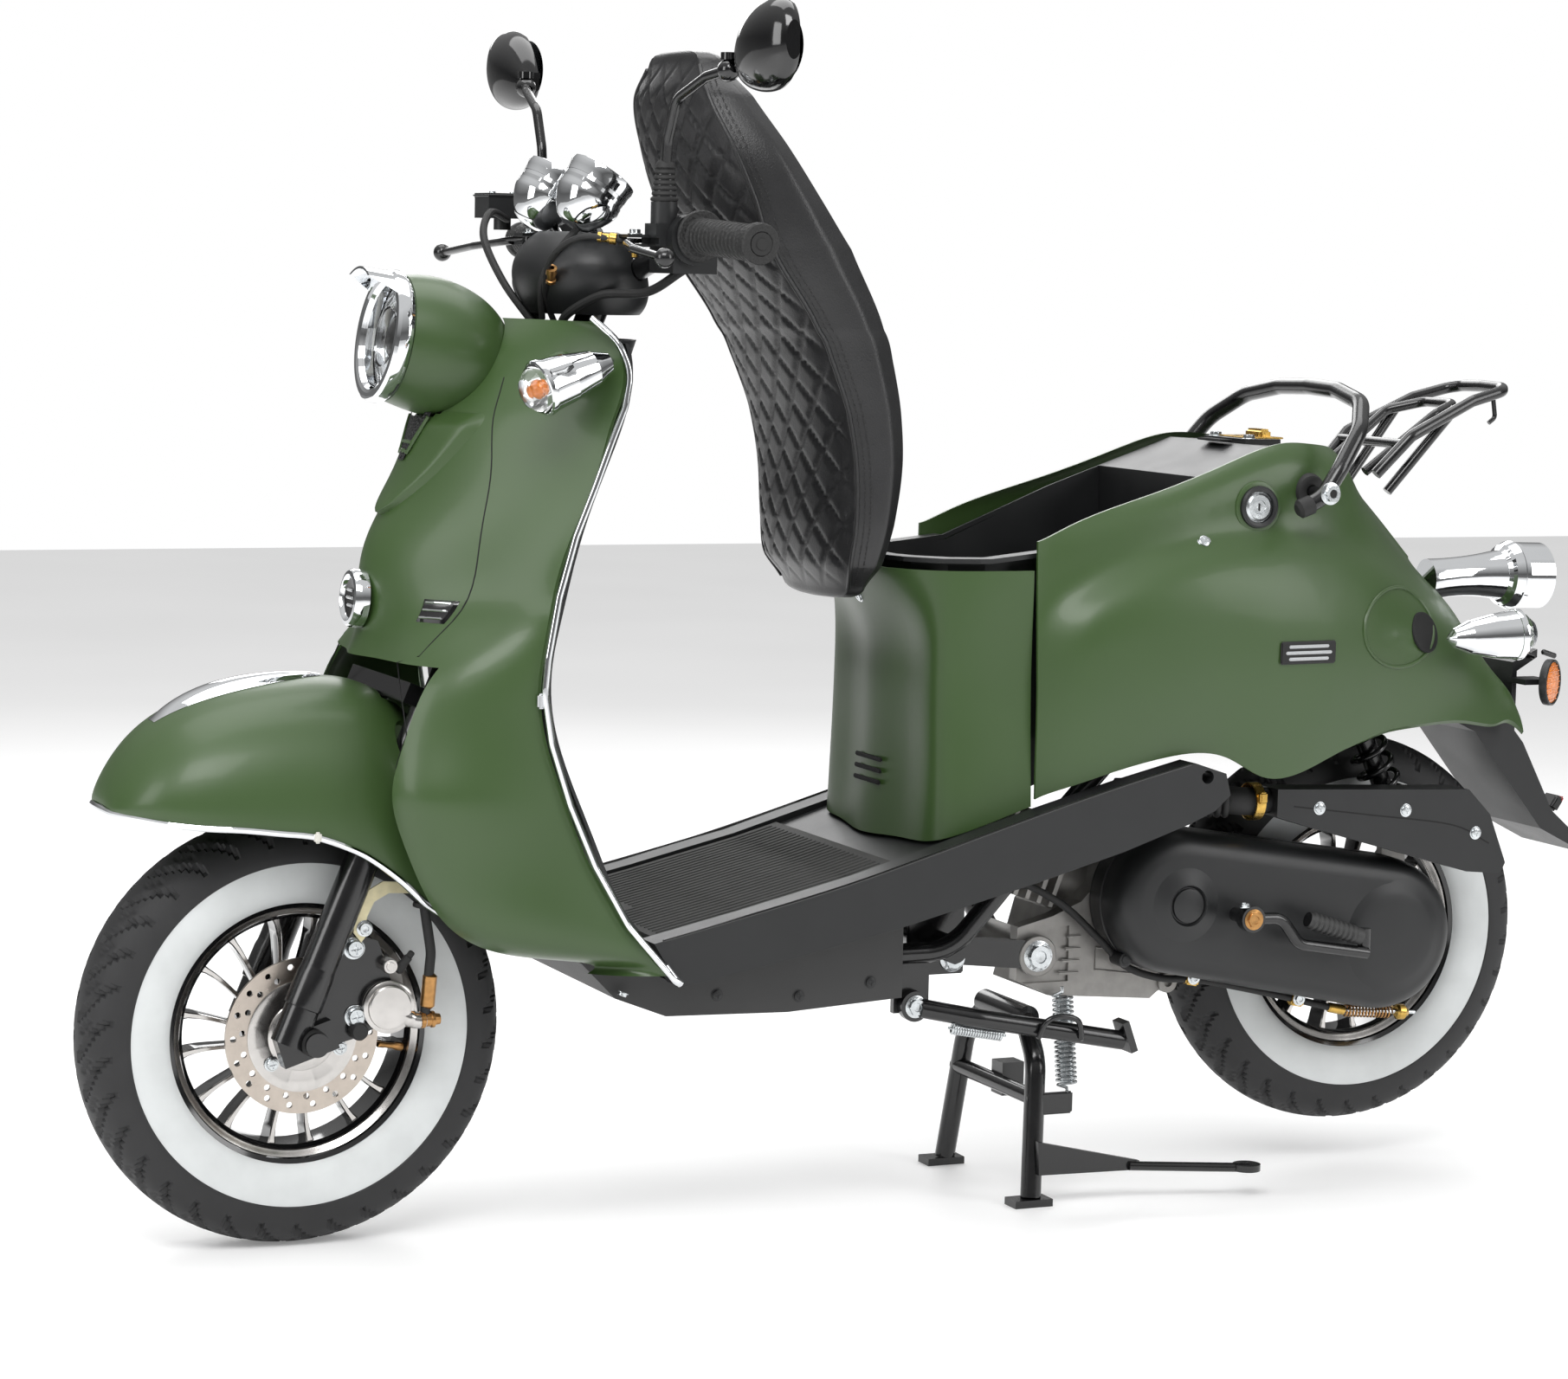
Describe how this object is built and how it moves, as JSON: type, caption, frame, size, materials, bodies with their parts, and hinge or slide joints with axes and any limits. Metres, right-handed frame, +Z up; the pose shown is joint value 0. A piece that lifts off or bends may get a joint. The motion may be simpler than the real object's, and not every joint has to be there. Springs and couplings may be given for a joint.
{
  "type": "moped scooter",
  "caption": "Retro step-through moped scooter on its centre stand with the seat raised over an open storage bucket, whitewall tyres, rear rack and hoop handle.",
  "frame": {"origin": "on the floor under the centre plane, midway between the foremost and rearmost points", "axes": "+X forward, +Y to the rider's left, +Z up"},
  "size_m": [1.713, 0.804, 1.231],
  "materials": {
    "green": "matte",
    "chrome": "polished",
    "black_plastic": "matte",
    "dark_grey_plastic": "matte",
    "black_steel": "satin",
    "rubber": "matte",
    "tyre": "matte",
    "alloy": "cast",
    "steel": "brushed",
    "clear": "clear",
    "red_lens": "clear",
    "vinyl": "satin",
    "gloss_black": "gloss"
  },
  "bodies": {
    "chassis": {"leg_shield": "green", "headlight_shell": "green", "headlight_bezel": "chrome", "headlight_lens": "clear", "inner_shield": "black_plastic", "shield_trim": "chrome", "signal_housings": "chrome", "signal_lenses": "clear", "floorboard": "black_plastic", "floor_mat": "rubber", "belly_cover": "dark_grey_plastic", "body_column": "green", "side_panel_left": "green", "side_panel_right": "green", "storage_bucket": "black_plastic", "grab_rail": "black_steel", "luggage_rack": "black_steel", "tail_light_housing": "chrome", "tail_light_lens": "red_lens", "rear_mudguard": "black_plastic", "frame": "black_steel"},
    "throttle_grip": {"throttle_grip": "rubber"},
    "brake_lever_left": {"brake_lever_left": "black_steel"},
    "brake_lever_right": {"brake_lever_right": "black_steel"},
    "horn_button": {"horn_button": "gloss_black"},
    "turn_switch": {"turn_switch": "gloss_black"},
    "starter_button": {"starter_button": "gloss_black"},
    "mirror_head_left": {"mirror_head_left": "gloss_black"},
    "mirror_head_right": {"mirror_head_right": "gloss_black"},
    "ignition_barrel": {"ignition_barrel": "steel"},
    "lock_barrel": {"lock_barrel": "steel"},
    "steering": {"steering_stem": "steel", "front_fender": "green", "handlebar": "black_steel", "hand_grip": "rubber", "bar_controls": "black_plastic", "neck_cover": "dark_grey_plastic", "gauges": "chrome", "mirror_stems": "gloss_black"},
    "fork": {"fork_lowers": "black_steel", "brake_caliper": "alloy", "brake_hose": "rubber"},
    "front_wheel": {"front_tyre": "tyre", "front_rim": "alloy", "brake_disc": "steel"},
    "rear_wheel": {"rear_tyre": "tyre", "rear_rim": "alloy"},
    "engine": {"crankcase": "alloy", "cvt_cover": "black_plastic", "airbox": "black_plastic", "intake_hose": "rubber", "muffler": "black_steel"},
    "kick_lever": {"kick_lever": "black_steel"},
    "centre_stand": {"centre_stand": "black_steel"},
    "side_stand": {"side_stand": "black_steel"},
    "shock_upper": {"shock_upper": "steel"},
    "shock_lower": {"shock_lower": "black_steel", "shock_spring": "black_steel"},
    "seat": {"seat_cushion": "vinyl", "seat_base": "black_plastic"}
  },
  "joints": [
    {"name": "steering", "type": "hinge", "parent": "chassis", "child": "steering", "pos_m": [0.629, 0, 0.216], "axis": [-0.3827, 0, 0.9239], "range_deg": [-26, 26]},
    {"name": "fork_slide", "type": "slide", "parent": "steering", "child": "fork", "axis": [-0.3827, 0, 0.9239], "range_m": [0, 0.03], "stiffness_N_per_m": 9000, "springref_m": -0.04},
    {"name": "front_wheel_spin", "type": "hinge", "parent": "fork", "child": "front_wheel", "pos_m": [0.644, 0, 0.216], "axis": [0, 1, 0], "continuous": true},
    {"name": "engine_swing", "type": "hinge", "parent": "chassis", "child": "engine", "pos_m": [-0.16, 0, 0.259], "axis": [0, 1, 0], "range_deg": [0, 3.5], "stiffness_Nm_per_rad": 2500, "springref_deg": -3.44},
    {"name": "rear_wheel_spin", "type": "hinge", "parent": "engine", "child": "rear_wheel", "pos_m": [-0.567, 0, 0.263], "axis": [0, 1, 0], "continuous": true},
    {"name": "shock_tilt", "type": "hinge", "parent": "chassis", "child": "shock_upper", "pos_m": [-0.47, 0.078, 0.64], "axis": [0, 1, 0], "range_deg": [-0.05, 1]},
    {"name": "shock_slide", "type": "slide", "parent": "shock_upper", "child": "shock_lower", "axis": [0.4364, 0, 0.8997], "range_m": [-0.0005, 0.03], "deforming": ["shock_spring"]},
    {"name": "centre_stand_fold", "type": "hinge", "parent": "engine", "child": "centre_stand", "pos_m": [-0.158, 0, 0.19], "axis": [0, 1, 0], "range_deg": [0, 50]},
    {"name": "side_stand_fold", "type": "hinge", "parent": "chassis", "child": "side_stand", "pos_m": [0.005, 0.108, 0.222], "axis": [0, -1, 0], "range_deg": [0, 58]},
    {"name": "kick", "type": "hinge", "parent": "engine", "child": "kick_lever", "pos_m": [-0.36, 0.166, 0.306], "axis": [0, -1, 0], "range_deg": [0, 60], "stiffness_Nm_per_rad": 3, "springref_deg": -20.05},
    {"name": "seat_hinge", "type": "hinge", "parent": "chassis", "child": "seat", "pos_m": [0.036, 0, 0.694], "axis": [0, -1, 0], "range_deg": [0, 84]},
    {"name": "brake_lever_left_pull", "type": "hinge", "parent": "steering", "child": "brake_lever_left", "pos_m": [0.347, 0.15, 1.004], "axis": [0, 0, 1], "range_deg": [0, 16], "stiffness_Nm_per_rad": 3, "springref_deg": -8.59},
    {"name": "brake_lever_right_pull", "type": "hinge", "parent": "steering", "child": "brake_lever_right", "pos_m": [0.347, -0.15, 1.004], "axis": [0, 0, -1], "range_deg": [0, 16], "stiffness_Nm_per_rad": 3, "springref_deg": -8.59},
    {"name": "throttle_twist", "type": "hinge", "parent": "steering", "child": "throttle_grip", "pos_m": [0.299, -0.19, 1.01], "axis": [-0.0659, -0.9965, -0.0513], "range_deg": [0, 70], "stiffness_Nm_per_rad": 0.4, "springref_deg": -22.92},
    {"name": "mirror_left_turn", "type": "hinge", "parent": "steering", "child": "mirror_head_left", "pos_m": [0.306, 0.28, 1.1655], "axis": [0, 0, 1], "range_deg": [-12, 12]},
    {"name": "mirror_right_turn", "type": "hinge", "parent": "steering", "child": "mirror_head_right", "pos_m": [0.306, -0.28, 1.1655], "axis": [0, 0, 1], "range_deg": [-12, 12]},
    {"name": "horn_press", "type": "slide", "parent": "steering", "child": "horn_button", "axis": [1, 0, 0], "range_m": [0, 0.002], "stiffness_N_per_m": 800, "springref_m": -0.001},
    {"name": "turn_switch_slide", "type": "slide", "parent": "steering", "child": "turn_switch", "axis": [0, 1, 0], "range_m": [-0.003, 0.003]},
    {"name": "starter_press", "type": "slide", "parent": "steering", "child": "starter_button", "axis": [1, 0, 0], "range_m": [0, 0.002], "stiffness_N_per_m": 800, "springref_m": -0.001},
    {"name": "ignition_turn", "type": "hinge", "parent": "chassis", "child": "ignition_barrel", "pos_m": [0.304, -0.058, 0.85], "axis": [1, 0, 0], "range_deg": [0, 90]},
    {"name": "seat_lock_turn", "type": "hinge", "parent": "chassis", "child": "lock_barrel", "pos_m": [-0.362, 0.118, 0.741], "axis": [0, 1, 0], "range_deg": [0, 90]}
  ],
  "couplings": [
    {"joint": "shock_slide", "follows": "engine_swing", "m_per_rad": 0.449},
    {"joint": "shock_tilt", "follows": "engine_swing", "ratio": 0.265}
  ]
}
